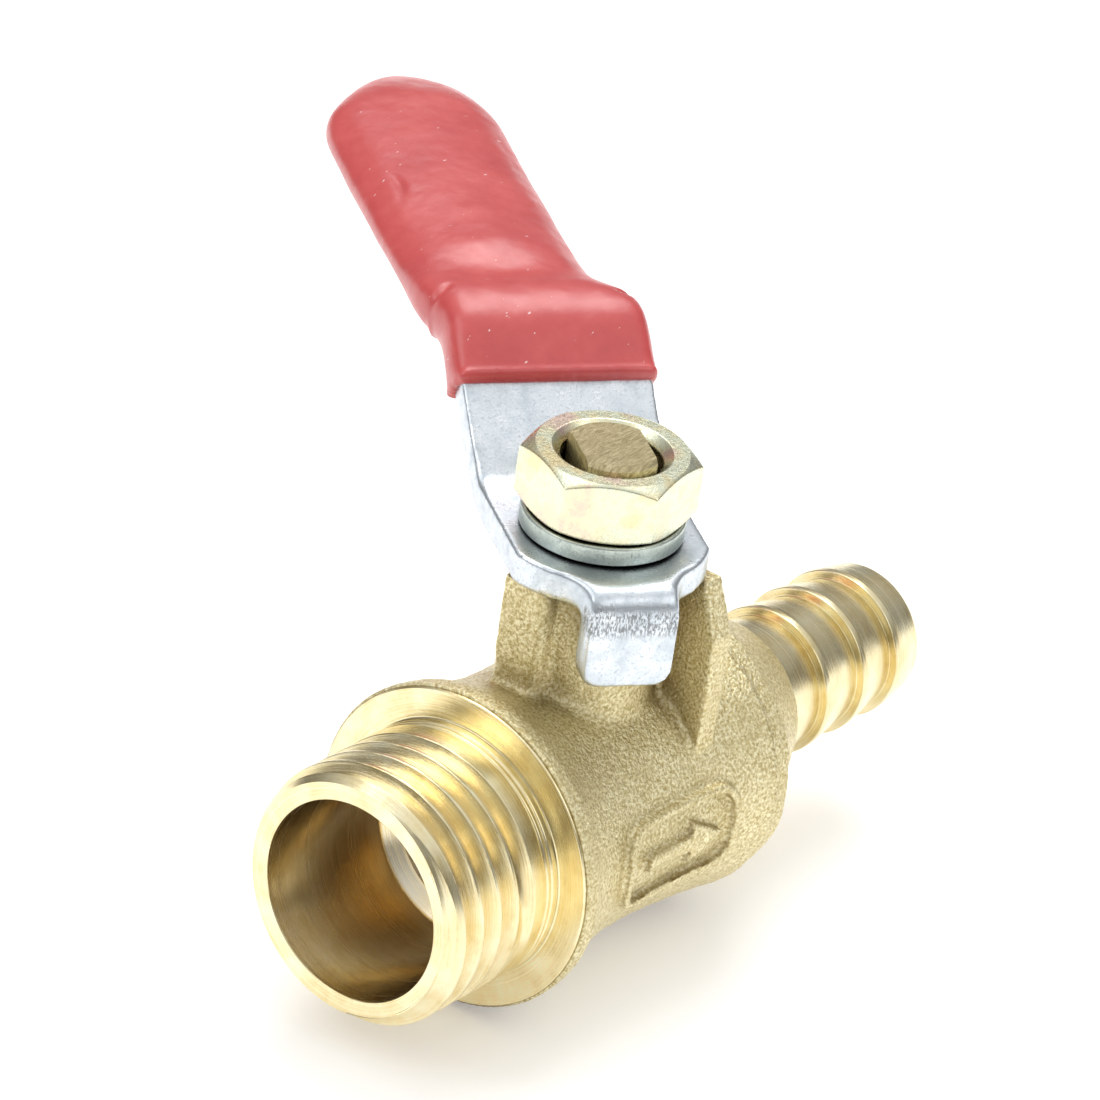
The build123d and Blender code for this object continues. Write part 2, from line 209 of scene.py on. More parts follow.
def rounded_loop(corners, step):
    """Closed outline of (a, r, corner radius) corners, with arcs at the corners, sampled at step."""
    pieces = []
    count = len(corners)
    for i, (a, r, radius) in enumerate(corners):
        here = np.array([a, r])
        before = np.array(corners[i - 1][:2]) - here
        after = np.array(corners[(i + 1) % count][:2]) - here
        before_length = np.linalg.norm(before)
        after_length = np.linalg.norm(after)
        cosine = float(np.clip(before @ after / (before_length * after_length), -1, 1))
        half = math.acos(cosine) / 2
        reach = 0.0
        if radius > 0 and half < math.radians(88):
            reach = min(radius / math.tan(half), before_length * 0.45, after_length * 0.45)
        start = here + before / before_length * reach
        end = here + after / after_length * reach
        for t in np.linspace(0, 1, 6 if reach > 0 else 1):
            pieces.append((1 - t) ** 2 * start + 2 * t * (1 - t) * here + t ** 2 * end)
    result = []
    for i, point in enumerate(pieces):
        following = pieces[(i + 1) % len(pieces)]
        parts = max(1, int(np.linalg.norm(following - point) / step))
        result += [point + (following - point) * k / parts for k in range(parts)]
    return np.array(result)


def lathe(loop, segments, change, axis="x"):
    """Closed surface of revolution of an (a, r) loop. change(a, r, turn) returns new a and r."""
    theta = np.linspace(0, 2 * math.pi, segments, endpoint=False)
    a, turn = np.meshgrid(loop[:, 0], theta, indexing="ij")
    r = np.broadcast_to(loop[:, 1:2], a.shape).copy()
    a, r = change(a, r, turn)
    first, second = r * np.cos(turn), r * np.sin(turn)
    if axis == "x":
        points = np.stack([a, first, second], -1)
    else:
        points = np.stack([STEM_X + first, second, a], -1)
    rows, cols = a.shape
    index = np.arange(rows * cols).reshape(rows, cols)
    down = np.roll(index, -1, 0)
    right = np.roll(index, -1, 1)
    both = np.roll(down, -1, 1)
    faces = np.stack([index, down, both, right], -1).reshape(-1, 4)
    return points.reshape(-1, 3), faces.tolist()


def noise_at(points, scale, seed):
    """Smooth noise from -1 to 1 at each point, scale in cycles per mm."""
    shift = Vector((seed * 17.3, seed * 9.1, seed * 4.7))
    return np.array([noise.noise(Vector(p) * scale + shift) for p in points.tolist()])


def cad_mesh(node, cut=None):
    """Welded copy of a CAD node's mesh in mm. cut is (point, normal), and the normal's side goes."""
    work = bmesh.new()
    work.from_mesh(frame["nodes"][node].data)
    bmesh.ops.scale(work, vec=Vector((1 / MM,) * 3), verts=work.verts)
    bmesh.ops.remove_doubles(work, verts=work.verts, dist=0.0005)
    if cut:
        geometry = list(work.verts) + list(work.edges) + list(work.faces)
        made = bmesh.ops.bisect_plane(
            work, geom=geometry, plane_co=cut[0], plane_no=cut[1], clear_outer=True)
        rim = [e for e in made["geom_cut"] if isinstance(e, bmesh.types.BMEdge)]
        bmesh.ops.triangle_fill(work, edges=rim, use_beauty=True)
    mesh = bpy.data.meshes.new(node + "_working")
    work.to_mesh(mesh)
    work.free()
    return mesh


def joined(meshes):
    work = bmesh.new()
    for mesh in meshes:
        work.from_mesh(mesh)
    result = bpy.data.meshes.new("joined_working")
    work.to_mesh(result)
    work.free()
    return result


def remeshed(mesh, voxel):
    """Even quad mesh of the same solid, as points, edges and faces in mm."""
    obj = bpy.data.objects.new("remesh_working", mesh)
    bpy.context.scene.collection.objects.link(obj)
    modifier = obj.modifiers.new("voxels", "REMESH")
    modifier.mode = "VOXEL"
    modifier.voxel_size = voxel
    modifier.adaptivity = 0
    graph = bpy.context.evaluated_depsgraph_get()
    result = bpy.data.meshes.new_from_object(obj.evaluated_get(graph))
    bpy.data.objects.remove(obj)
    points = np.zeros(len(result.vertices) * 3)
    result.vertices.foreach_get("co", points)
    edges = np.zeros(len(result.edges) * 2, int)
    result.edges.foreach_get("vertices", edges)
    faces = [list(p.vertices) for p in result.polygons]
    return points.reshape(-1, 3), edges.reshape(-1, 2), faces


def relaxed(points, edges, weight, rounds):
    """Laplacian smoothing, each point moving by its own weight."""
    count = np.bincount(edges.ravel(), minlength=len(points))[:, None]
    ends = np.concatenate([edges[:, 0], edges[:, 1]])
    others = np.concatenate([edges[:, 1], edges[:, 0]])
    for _ in range(rounds):
        total = np.stack(
            [np.bincount(ends, points[others, k], len(points)) for k in range(3)], -1)
        points = points + (total / count - points) * weight[:, None] * 0.6
    return points


def inflated(points, faces, amount):
    """Points moved outwards along the surface normals, to give back what smoothing takes."""
    mesh = bpy.data.meshes.new("normals_working")
    mesh.from_pydata(points.tolist(), [], faces)
    normals = np.zeros(len(points) * 3, np.float32)
    mesh.vertex_normals.foreach_get("vector", normals)
    return points + normals.reshape(-1, 3) * amount


def smooth_step(x, low, high):
    t = np.clip((x - low) / (high - low), 0, 1)
    return t * t * (3 - 2 * t)


def hump(*places):
    """Soft bump of height 1. Each place is (distance from its centre, width)."""
    return np.exp(-sum((distance / width) ** 2 for distance, width in places))


# ---------------------------------------------------------------- body
def thread_shape(a, r, turn):
    """Cut the right-hand thread groove and the two fine turned lines into the outside."""
    behind = np.mod(np.degrees(turn) - GROOVE_END_ANGLE, 360) - 360
    depth = np.zeros_like(r)
    for turns in range(GROOVE_TURNS):
        centre = GROOVE_END_X + PITCH * (behind / 360 - turns)
        u = np.clip(np.abs(a - centre) / GROOVE_HALF, 0, 1)
        one = GROOVE_DEPTH * (1 - u ** GROOVE_POWER)
        if turns == 0:
            one = one * smooth_step(-behind, 0, GROOVE_FADE)
        depth = np.maximum(depth, one)
    for x in FINE_LINES_X:
        depth = depth + FINE_LINE * hump((a - x, FINE_LINE))
    cut = CREST_R - depth
    return a, np.where(a < -0.02, np.minimum(r, cut), r)


def turned_end():
    """Thread, shoulder face and bore with its inner lip."""
    bore = BORE_R - BORE_SKIN
    lip = LIP_R - LIP_SKIN
    bevel_start, bevel_end = LIP_BEVEL_X
    back_x, back_r = LINER_BACK
    corners = [
        (FRONT_X, bore, 0.07), (FRONT_X, FRONT_R, 0.05), (FRONT_X + FRONT_BEVEL, CREST_R, 0.05),
        (0.0, CREST_R, 0.0), (0.0, SHOULDER_R - 0.2, 0.06), (CUT_X, SHOULDER_R - 0.12, 0.0),
        (CUT_X, back_r, 0.0), (back_x, back_r, 0.0),
        (LIP_END_X, lip, 0.05), (bevel_end, lip, 0.08), (bevel_start, bore, 0.08),
    ]
    loop = rounded_loop(corners, 0.12)
    fine = []
    for point, following in zip(loop, np.roll(loop, -1, 0)):
        lower, upper = sorted((point[1], following[1]))
        on_thread = lower > 6.1 and upper < CREST_R + 0.01
        parts = max(1, int(np.linalg.norm(following - point) / THREAD_ROW)) if on_thread else 1
        fine += [point + (following - point) * k / parts for k in range(parts)]
    points, faces = lathe(np.array(fine), THREAD_SEGMENTS, thread_shape)
    return make_piece("turned_thread_end", points, faces, "valve", "valve_body", 180)


def casting():
    """The rough cast part of the body, with soft feet where the neck meets the barrel."""
    mesh = cad_mesh("valve_body", cut=(Vector((CUT_X, 0, 0)), Vector((-1, 0, 0))))
    points, edges, faces = remeshed(mesh, 0.13)
    x, y, z = points.T
    radius = np.hypot(y, z)
    from_stem = np.hypot(x - STEM_X, y)
    inside = (radius < CAVITY_R) & (z < CAVITY_TOP_Z)
    inside |= (from_stem < STEM_HOLE_R)
    outer = np.where(inside, 0.0, 1.0)
    outer *= smooth_step(x, CUT_X + 0.05, CUT_X + 0.6) * smooth_step(JOINT_X - x, 0.02, 0.2)
    foot = smooth_step(z, *FOOT_Z) * smooth_step(FOOT_TOP_Z - z, 0, FOOT_TOP_FADE) * outer
    foot *= smooth_step(y, *FOOT_Y)
    mark = (y < MARK_Y) & (np.abs(z) < MARK_HALF_Z) & (x > MARK_X[0]) & (x < MARK_X[1])
    outer = np.where(mark, outer * MARK_SHARE, outer)
    points = relaxed(points, edges, outer * 0.5, 3)
    points = relaxed(points, edges, foot, 26)
    direction = np.stack([np.zeros_like(x), y, z], -1)
    above = smooth_step(z, *NECK_Z)[:, None]
    side = np.stack([x - STEM_X, y, np.zeros_like(x)], -1)
    direction = direction / (radius[:, None] + 1e-6) * (1 - above)
    direction = direction + side / (from_stem[:, None] + 1e-6) * above
    rough = 0.05 * noise_at(points, 0.55, 1) + 0.025 * noise_at(points, 1.9, 2)
    rough += 0.02 * noise_at(points, 3.4, 3)
    points = points + direction * (rough * outer - 0.03 * outer)[:, None]
    radius = np.hypot(points[:, 1], points[:, 2])
    rim = points[:, 0] < RIM_END_X
    shrink = np.where(rim, np.minimum(1, (SHOULDER_R - 0.01) / np.maximum(radius, 1)), 1)
    points[:, 1:] *= shrink[:, None]
    return make_piece("body_casting", points, faces, "valve", "valve_body", 180)


# ---------------------------------------------------------------- hose tail
def hose_tail():
    cone_start, cone_end, neck = CONE
    corners = [
        (TAIL_X, SEAT_R, 0.0), (TAIL_X, PLUG_R, 0.0), (JOINT_X + 0.02, PLUG_R, 0.0),
        (JOINT_X + 0.02, FLANGE_START, 0.18), (FLANGE_X, FLANGE_END, 0.3),
        (*cone_start, 0.35), (*cone_end, 0.8), (*neck, 0.2),
    ]
    for ridge in RIDGES_X:
        corners += [
            (ridge, RIDGE_ROOT_R, 0.04), (ridge, RIDGE_R, 0.07), (ridge + RIDGE_W, RIDGE_R, 0.1)]
    corners += [
        (TAIL_END_X - TAIL_TIP, TAIL_TIP_R[0], 0.2), (TAIL_END_X, TAIL_TIP_R[1], 0.1),
        (TAIL_END_X, TAIL_BORE_R, 0.08), (THROAT_X, TAIL_BORE_R, 0.0)]

    def cast_skin(a, r, turn):
        cast = smooth_step(a, JOINT_X, JOINT_X + 0.3) * smooth_step(22.3 - a, 0, 0.6) * (r > 4)
        flats = 0.07 * np.cos(9 * turn + 0.8) + 0.05 * np.sin(5 * turn)
        band = smooth_step(17.6 - a, 0, 0.6)
        points = np.stack([a, r * np.cos(turn), r * np.sin(turn)], -1).reshape(-1, 3)
        rough = 0.045 * noise_at(points, 0.7, 5) + 0.03 * noise_at(points, 2.3, 6)
        return a, r + cast * (rough.reshape(r.shape) + flats * band - 0.08)

    points, faces = lathe(rounded_loop(corners, 0.09), 260, cast_skin)
    return make_piece("hose_barb_tail", points, faces, "valve", "hose_tail", 34)


# ---------------------------------------------------------------- lever and sleeve
def lever_coordinates(points):
    """Distance along the lever, distance across it, and height."""
    rel = points - np.array([STEM_X, 0, 0])
    return rel @ np.array(ALONG), rel @ np.array(ACROSS), points[:, 2]


def lever_strip():
    """Bent strip with soft edges. Its end in the sleeve is rounder and drawn in."""
    points, edges, faces = remeshed(cad_mesh("lever"), 0.13)
    along, across, _ = lever_coordinates(points)
    outside_eye = np.hypot(along, across) > STEM_EYE_R
    points = relaxed(points, edges, outside_eye * 0.55, 7)
    bend = hump((along - RISE_ALONG, 1.1)) + hump((along + TAB_BEND_ALONG, 0.8))
    points = relaxed(points, edges, np.clip(bend, 0, 1) * outside_eye, 26)
    points = relaxed(points, edges, smooth_step(along, *HIDDEN_ALONG), 45)
    points = inflated(points, faces, 0.05)
    points -= np.array(ALONG) * (TIP_DRAWN_IN * smooth_step(along, *TIP_ALONG))[:, None]
    wave = 0.02 * noise_at(points, 0.5, 8)
    points[:, 2] += wave * smooth_step(along, 6.0, 8.0)
    return make_piece("lever_strip", points, faces, "turning", "lever", 60)


def from_mouth(along, height):
    """Distance up the sloping riser from the sleeve's mouth, which is square to it."""
    return (along - MOUTH_ALONG) * RISER_COS + (height - MOUTH_Z) * RISER_SIN


def sleeve():
    """Dipped sleeve: a soft-edged skin, filled with the part of the strip that it covers."""
    point = Vector((STEM_X, 0, 0)) + ALONG * FILL_ALONG
    covered = cad_mesh("lever", cut=(point, -ALONG))
    points, edges, faces = remeshed(joined([cad_mesh("lever_sleeve"), covered]), 0.17)
    along, across, height = lever_coordinates(points)
    mouth = smooth_step(from_mouth(along, height), 0.0, 0.9)
    points = relaxed(points, edges, 0.2 + 0.8 * mouth, 90)
    points = relaxed(points, edges, hump((along - 12.8, 2.4)) * mouth, 70)
    points = inflated(points, faces, 0.16)

    # crowned faces that thin out towards the mouth, where a bead runs round
    along, across, height = lever_coordinates(points)
    inward = from_mouth(along, height)
    crown = np.clip(1 - ((across - CROWN_ACROSS) / CROWN_HALF) ** 2, 0, 1)
    crown *= smooth_step(along, 13.0, 18.0)
    crown *= smooth_step(CROWN_END - along, 0, 5.5)
    side = np.clip((height - np.interp(along, STRIP_ALONG, STRIP_Z)) / SLEEVE_HALF, -1, 1)
    points[:, 2] += CROWN_RISE * (crown - CROWN_LEVEL) * side * smooth_step(along, 12.5, 18.0)
    thin = smooth_step(4.2 - inward, 0, 4.2)
    normal = np.array([-ALONG.x, -ALONG.y, 0]) * RISER_SIN + np.array([0, 0, RISER_COS])
    points -= normal * (0.32 * thin * side)[:, None]
    bead = hump((inward - 0.3, 0.16))
    points += normal * (0.1 * bead * side)[:, None]

    # unevenness of the dipped skin
    relief = 0.05 * noise_at(points, 0.33, 11) + 0.018 * noise_at(points, 1.1, 12)
    hollow = -0.16 * hump((along - 15.4, 1.2), (across + 1.2, 2.6))
    hollow += -0.12 * hump((along - 33.0, 1.6), (across + 2.6, 1.2))
    fold = -0.14 * hump((across + 4.1 + 0.12 * (along - 24.5) ** 2, 0.2), (along - 24.5, 1.1))
    nick = -0.32 * hump((along - 12.9, 0.16), (across - 4.35, 0.42))
    pucker = -0.2 * hump((along - 13.6 - 0.5 * across - 2.4, 0.22)) * smooth_step(-across, 4.2, 4.8)
    relief = relief + hollow + fold + nick + pucker
    points[:, 2] += relief * smooth_step(along, 10.5, 12.5)

    # the whole skin stays in the CAD sleeve's box
    high = np.array(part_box("lever_sleeve")[1]) / MM
    over_top = max(0.0, points[:, 2].max() - high[2] + 0.01)
    points[:, 2] -= over_top * smooth_step(along, 13.0, 22.0)
    over_end = max(0.0, points[:, 1].max() - high[1] + 0.01)
    points -= np.array(ALONG) * (1.3 * over_end * smooth_step(along, 28.0, 36.0))[:, None]
    return make_piece("vinyl_sleeve", points, faces, "turning", "lever_sleeve", 180)


# ---------------------------------------------------------------- fasteners
def hex_nut():
    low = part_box("hex_nut")[0].z / MM
    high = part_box("hex_nut")[1].z / MM
    corner = NUT_HALF_FLATS * 2 / math.sqrt(3)
    loop = rounded_loop([
        (low, NUT_MOUTH_R, 0.2), (low, corner + 0.05, 0.0), (high, corner + 0.05, 0.0),
        (high, NUT_FACE_R, 0.1), (high - 0.5, NUT_BORE_R, 0.05)], 0.05)

    def hexagon(a, r, turn):
        sector = np.mod(turn - NUT_TURN, math.pi / 3) - math.pi / 6
        flat = NUT_HALF_FLATS / np.cos(sector)
        drop = np.minimum(a - low, high - a)
        cone = NUT_HALF_FLATS - NUT_BEVEL + drop * NUT_BEVEL_SLOPE
        limit = -np.logaddexp(-flat * NUT_SHARPNESS, -cone * NUT_SHARPNESS) / NUT_SHARPNESS
        helix = np.abs(np.mod(a / NUT_PITCH - turn / (2 * math.pi), 1) - 0.5)
        groove = NUT_GROOVE * helix * (r < NUT_THREAD_R)
        return a, np.where(r > 3.0, np.minimum(r, limit), r) + groove

    points, faces = lathe(loop, 360, hexagon, axis="z")
    return make_piece("hex_nut_body", points, faces, "turning", "hex_nut", 30)


def lock_washer():
    """Split spring washer, a little lifted on one side of its split."""
    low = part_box("split_lock_washer")[0].z / MM
    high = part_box("split_lock_washer")[1].z / MM
    middle = (low + high) / 2
    section = rounded_loop([
        (middle - WASHER_HALF, WASHER_INNER_R, 0.12), (middle - WASHER_HALF, WASHER_OUTER_R, 0.16),
        (middle + WASHER_HALF, WASHER_OUTER_R, 0.16), (middle + WASHER_HALF, WASHER_INNER_R, 0.12)],
        0.12)
    turns = np.linspace(WASHER_SPLIT + WASHER_GAP, WASHER_SPLIT + 2 * math.pi - WASHER_GAP, 240)
    lift = (turns - turns.mean()) / math.pi * WASHER_LIFT
    height, radius = section.T
    rings = [
        np.stack([STEM_X + radius * math.cos(t), radius * math.sin(t), height + rise], -1)
        for t, rise in zip(turns, lift)]
    size = len(section)
    faces = []
    for i in range(len(rings) - 1):
        this, following = i * size, (i + 1) * size
        for k in range(size):
            after = (k + 1) % size
            faces.append([this + k, following + k, following + after, this + after])
    faces += [list(range(size)), list(range(len(rings) * size - size, len(rings) * size))[::-1]]
    return make_piece(
        "spring_lock_washer", np.concatenate(rings), faces, "turning",
        "split_lock_washer", 38)


# ---------------------------------------------------------------- materials
class Look:
    """A node material whose textures are laid out in millimetres in the row frame."""

    def __init__(self, name, **settings):
        self.material = bpy.data.materials.new(name)
        self.material.use_nodes = True
        self.tree = self.material.node_tree
        self.shader = self.tree.nodes["Principled BSDF"]
        for key, value in settings.items():
            self.shader.inputs[key.replace("_", " ")].default_value = value
        coordinates = self.tree.nodes.new("ShaderNodeTexCoord")
        self.place = self.stretched(coordinates.outputs["Object"], (1 / MM,) * 3)

    def put(self, socket, value):
        if isinstance(value, bpy.types.NodeSocket):
            self.tree.links.new(value, socket)
        else:
            socket.default_value = value

    def stretched(self, place, factors):
        node = self.tree.nodes.new("ShaderNodeVectorMath")
        node.operation = "MULTIPLY"
        self.put(node.inputs[0], place)
        self.put(node.inputs[1], factors)
        return node.outputs[0]

    def math(self, operation, first, second=0.0):
        node = self.tree.nodes.new("ShaderNodeMath")
        node.operation = operation
        self.put(node.inputs[0], first)
        self.put(node.inputs[1], second)
        return node.outputs[0]

    def times(self, first, second):
        return self.math("MULTIPLY", first, second)

    def noise(self, scale, detail=3.0, rough=0.55, place=None, stretch=None):
        node = self.tree.nodes.new("ShaderNodeTexNoise")
        node.inputs["Scale"].default_value = scale
        node.inputs["Detail"].default_value = detail
        node.inputs["Roughness"].default_value = rough
        source = place or self.place
        if stretch:
            source = self.stretched(source, stretch)
        self.tree.links.new(source, node.inputs["Vector"])
        return node.outputs["Fac"]

    def ramp(self, value, *stops):
        """Colour or grey between (position, colour or level) stops."""
        node = self.tree.nodes.new("ShaderNodeValToRGB")
        ramp = node.color_ramp
        while len(ramp.elements) < len(stops):
            ramp.elements.new(0.5)
        for element, (position, colour) in zip(ramp.elements, stops):
            element.position = position
            element.color = (*colour, 1) if isinstance(colour, tuple) else (colour,) * 3 + (1,)
        self.tree.links.new(value, node.inputs["Fac"])
        return node.outputs["Color"]

    def blend(self, factor, first, second, mode="MIX"):
        node = self.tree.nodes.new("ShaderNodeMix")
        node.data_type = "RGBA"
        node.blend_type = mode
        sockets = [s for s in node.inputs if s.type == "RGBA"]
        self.put(node.inputs["Factor"], factor)
        for socket, value in zip(sockets, (first, second)):
            self.put(socket, (*value, 1) if isinstance(value, tuple) else value)
        return [s for s in node.outputs if s.type == "RGBA"][0]

    def split(self):
        node = self.tree.nodes.new("ShaderNodeSeparateXYZ")
        self.tree.links.new(self.place, node.inputs[0])
        return node.outputs

    def range(self, value, low, high):
        """0 at low, 1 at high, whichever of them is larger."""
        node = self.tree.nodes.new("ShaderNodeMapRange")
        node.inputs["From Min"].default_value = low
        node.inputs["From Max"].default_value = high
        self.tree.links.new(value, node.inputs["Value"])
        return node.outputs["Result"]

    def bump(self, height, strength, distance_mm, under=None):
        node = self.tree.nodes.new("ShaderNodeBump")
        self.put(node.inputs["Strength"], strength)
        node.inputs["Distance"].default_value = distance_mm * MM
        self.tree.links.new(height, node.inputs["Height"])
        if under:
            self.tree.links.new(under, node.inputs["Normal"])
        return node.outputs["Normal"]

    def painted_crease_shade(self, colour, distance_mm, open_level, shut_level, dark):
        """Colour with painted shade, turning dark in creases and corners where ambient occlusion
        finds them.
        """
        node = self.tree.nodes.new("ShaderNodeAmbientOcclusion")
        node.inputs["Distance"].default_value = distance_mm * MM
        node.samples = 8
        shade = self.range(node.outputs["AO"], open_level, shut_level)
        return self.blend(shade, colour, dark)

    def set(self, **sockets):
        for key, value in sockets.items():
            self.put(self.shader.inputs[key.replace("_", " ")], value)
        return self.material

    def around_flow_axis(self):
        """Coordinates (x, radius, 0), in which texture runs round the flow axis as turning marks."""
        x, y, z = self.split()
        radius = self.math("SQRT", self.math("ADD", self.times(y, y), self.times(z, z)))
        node = self.tree.nodes.new("ShaderNodeCombineXYZ")
        self.put(node.inputs[0], x)
        self.put(node.inputs[1], radius)
        return node.outputs[0], radius


def cast_skin_parts(look):
    """Colour with painted shade in creases, roughness and bump of sand-cast brass."""
    grain = look.noise(6.5, 3, 0.62)
    blotch = look.noise(0.45, 3)
    colour = look.ramp(
        grain, (0.32, (0.47, 0.37, 0.155)), (0.48, (0.70, 0.60, 0.33)), (0.62, (0.95, 0.88, 0.60)))
    colour = look.blend(look.times(look.range(blotch, 0.45, 0.75), 0.5), colour, (0.66, 0.55, 0.28))
    pits = look.range(look.noise(1.7, 4, 0.7), 0.33, 0.24)
    colour = look.blend(look.times(pits, 0.6), colour, (0.32, 0.22, 0.09))
    # painted shade: dark pools in creases and corners, as round the foot of the neck
    colour = look.painted_crease_shade(colour, 2.2, 0.85, 0.3, (0.24, 0.165, 0.065))
    rough = look.ramp(grain, (0.3, 0.5), (0.7, 0.3))
    return colour, rough, grain


def turned_parts(look):
    """Colour, roughness and bump of brass turned about the flow axis, and distance from that axis."""
    round_place, radius = look.around_flow_axis()
    marks = look.noise(9.0, 4, 0.65, round_place)
    coarse = look.noise(2.2, 2, 0.5, round_place)
    stain = look.noise(0.6, 4, 0.6)
    colour = look.ramp(
        stain, (0.3, (0.74, 0.58, 0.27)), (0.5, (0.87, 0.74, 0.43)), (0.75, (0.95, 0.88, 0.62)))
    colour = look.blend(look.range(marks, 0.4, 0.8), colour, (0.96, 0.88, 0.60))
    rough = look.ramp(look.times(marks, coarse), (0.12, 0.15), (0.45, 0.33))
    return colour, rough, marks, radius


def cast_brass():
    """Cast skin outside, turned metal in the waterway darkened by painted shade, bright on its inner
    lip.
    """
    look = Look("cast_brass_skin", Metallic=0.9)
    colour, rough, grain = cast_skin_parts(look)
    turned_colour, turned_rough, marks, radius = turned_parts(look)
    x, _, z = look.split()
    inside = look.times(look.range(radius, 5.85, 5.7), look.range(z, 5.6, 5.4))
    lip = look.times(look.range(radius, 5.1, 4.98), look.range(x, 2.4, 2.2))
    # painted shade: the turned metal in the waterway is darkened by half
    turned_colour = look.blend(0.5, turned_colour, (0.47, 0.30, 0.12))
    turned_colour = look.blend(lip, turned_colour, (0.93, 0.91, 0.84))
    fine = look.bump(look.noise(1.6, 3, 0.6), 0.4, 0.2)
    cast = look.bump(grain, look.math("SUBTRACT", 0.62, look.times(inside, 0.6)), 0.16, fine)
    return look.set(
        Base_Color=look.blend(inside, colour, turned_colour),
        Roughness=look.blend(inside, rough, turned_rough),
        Normal=look.bump(marks, look.times(inside, 0.2), 0.05, cast))


def turned_brass():
    """Turned metal with painted shade, darker down the bore, in the thread and in creases, bright on
    the inner lip.
    """
    look = Look("turned_brass", Metallic=1.0)
    colour, rough, marks, radius = turned_parts(look)
    x = look.split()[0]
    # painted shade, darkening the bore further in from the front
    bore_shade = look.times(look.range(radius, 5.2, 5.12), look.range(x, FRONT_X, FRONT_X + 5.0))
    colour = look.blend(look.times(bore_shade, 0.6), colour, (0.47, 0.29, 0.105))
    lip = look.times(look.range(radius, 5.08, 5.0), look.range(x, 0.6, 0.8))
    colour = look.blend(look.times(lip, 0.85), colour, (0.90, 0.88, 0.80))
    # painted shade in the bottoms of the thread's grooves
    groove = look.times(look.range(radius, 6.45, 5.8), look.range(radius, 5.5, 5.7))
    groove = look.times(groove, look.range(x, FRONT_X + 0.5, FRONT_X + 0.8))
    colour = look.blend(look.times(groove, 0.6), colour, (0.70, 0.51, 0.20))
    # painted shade in creases and corners
    colour = look.painted_crease_shade(colour, 0.9, 0.6, 0.15, (0.27, 0.17, 0.06))
    return look.set(Base_Color=colour, Roughness=rough, Normal=look.bump(marks, 0.22, 0.05))


def tail_brass():
    """Cast on the flange and cone, turned on the barb."""
    look = Look("tail_brass", Metallic=0.95)
    cast_colour, cast_rough, grain = cast_skin_parts(look)
    turned_colour, turned_rough, marks, _ = turned_parts(look)
    edge = look.math("ADD", look.split()[0], look.times(look.noise(1.5), 0.5))
    turned = look.range(edge, 22.2, 22.6)
    cast = look.bump(grain, look.math("SUBTRACT", 0.75, look.times(turned, 0.73)), 0.2)
    return look.set(
        Base_Color=look.blend(turned, cast_colour, turned_colour),
        Roughness=look.blend(turned, cast_rough, turned_rough),
        Normal=look.bump(marks, 0.2, 0.05, cast))


def zinc_steel(name, tab_wear=False, tint=None):
    """Cloudy zinc plating with scratches, which tab_wear gathers on the bend of the stop tab."""
    look = Look(name, Metallic=1.0)
    cloud = look.noise(0.8, 5, 0.62)
    grain = look.noise(7.0, 3, 0.6)
    colour = look.ramp(
        cloud, (0.3, (0.50, 0.56, 0.60)), (0.5, (0.66, 0.71, 0.75)), (0.72, (0.80, 0.84, 0.87)))
    scratch = look.noise(2.3, 3, 0.7, stretch=(5.0, 5.0, 1.6))
    if tab_wear:
        x, y, z = look.split()
        along = look.math("ADD", look.times(x, ALONG.x), look.times(y, ALONG.y))
        start = ALONG.x * STEM_X
        zone = look.times(look.range(z, 12.2, 12.7), look.range(z, 13.9, 13.6))
        zone = look.times(zone, look.range(along, start - 5.3, start - 5.7))
        marks = look.times(look.range(scratch, 0.48, 0.53), zone)
    else:
        marks = look.range(scratch, 0.60, 0.70)
    colour = look.blend(look.range(grain, 0.54, 0.68), colour, (0.50, 0.55, 0.60))
    if tint:
        colour = look.blend(1.0, colour, tint, "MULTIPLY")
    colour = look.blend(look.times(marks, 0.8), colour, (0.16, 0.16, 0.16))
    # painted shade in creases and corners
    colour = look.painted_crease_shade(colour, 1.2, 0.6, 0.1, (0.12, 0.12, 0.12))
    rough = look.ramp(cloud, (0.35, 0.36), (0.7, 0.23))
    worn = look.bump(scratch, 0.12, 0.05)
    return look.set(Base_Color=colour, Roughness=rough, Normal=look.bump(grain, 0.25, 0.05, worn))


def nut_steel():
    """Yellow passivated steel with a pink and green tint."""
    look = Look("passivated_steel", Metallic=1.0)
    tint = look.noise(0.45, 3, 0.55)
    colour = look.ramp(
        tint, (0.32, (0.80, 0.62, 0.52)), (0.45, (0.83, 0.79, 0.54)),
        (0.56, (0.77, 0.80, 0.62)), (0.7, (0.86, 0.74, 0.44)))
    grain = look.noise(6.0, 4, 0.65)
    colour = look.blend(look.range(grain, 0.62, 0.8), colour, (0.50, 0.44, 0.28))
    # painted shade in creases and corners
    colour = look.painted_crease_shade(colour, 0.8, 0.55, 0.1, (0.14, 0.11, 0.06))
    rough = look.ramp(grain, (0.3, 0.2), (0.75, 0.36))
    return look.set(Base_Color=colour, Roughness=rough, Normal=look.bump(grain, 0.3, 0.05))


def stem_brass():
    """Sawn brass end."""
    look = Look("stem_brass_end", Metallic=0.95)
    saw = look.noise(2.2, 4, 0.7, stretch=(1.0, 5.0, 1.0))
    colour = look.ramp(
        saw, (0.3, (0.26, 0.21, 0.11)), (0.55, (0.50, 0.43, 0.25)), (0.78, (0.78, 0.70, 0.46)))
    rough = look.ramp(saw, (0.3, 0.55), (0.8, 0.33))
    return look.set(Base_Color=colour, Roughness=rough, Normal=look.bump(saw, 0.7, 0.12))


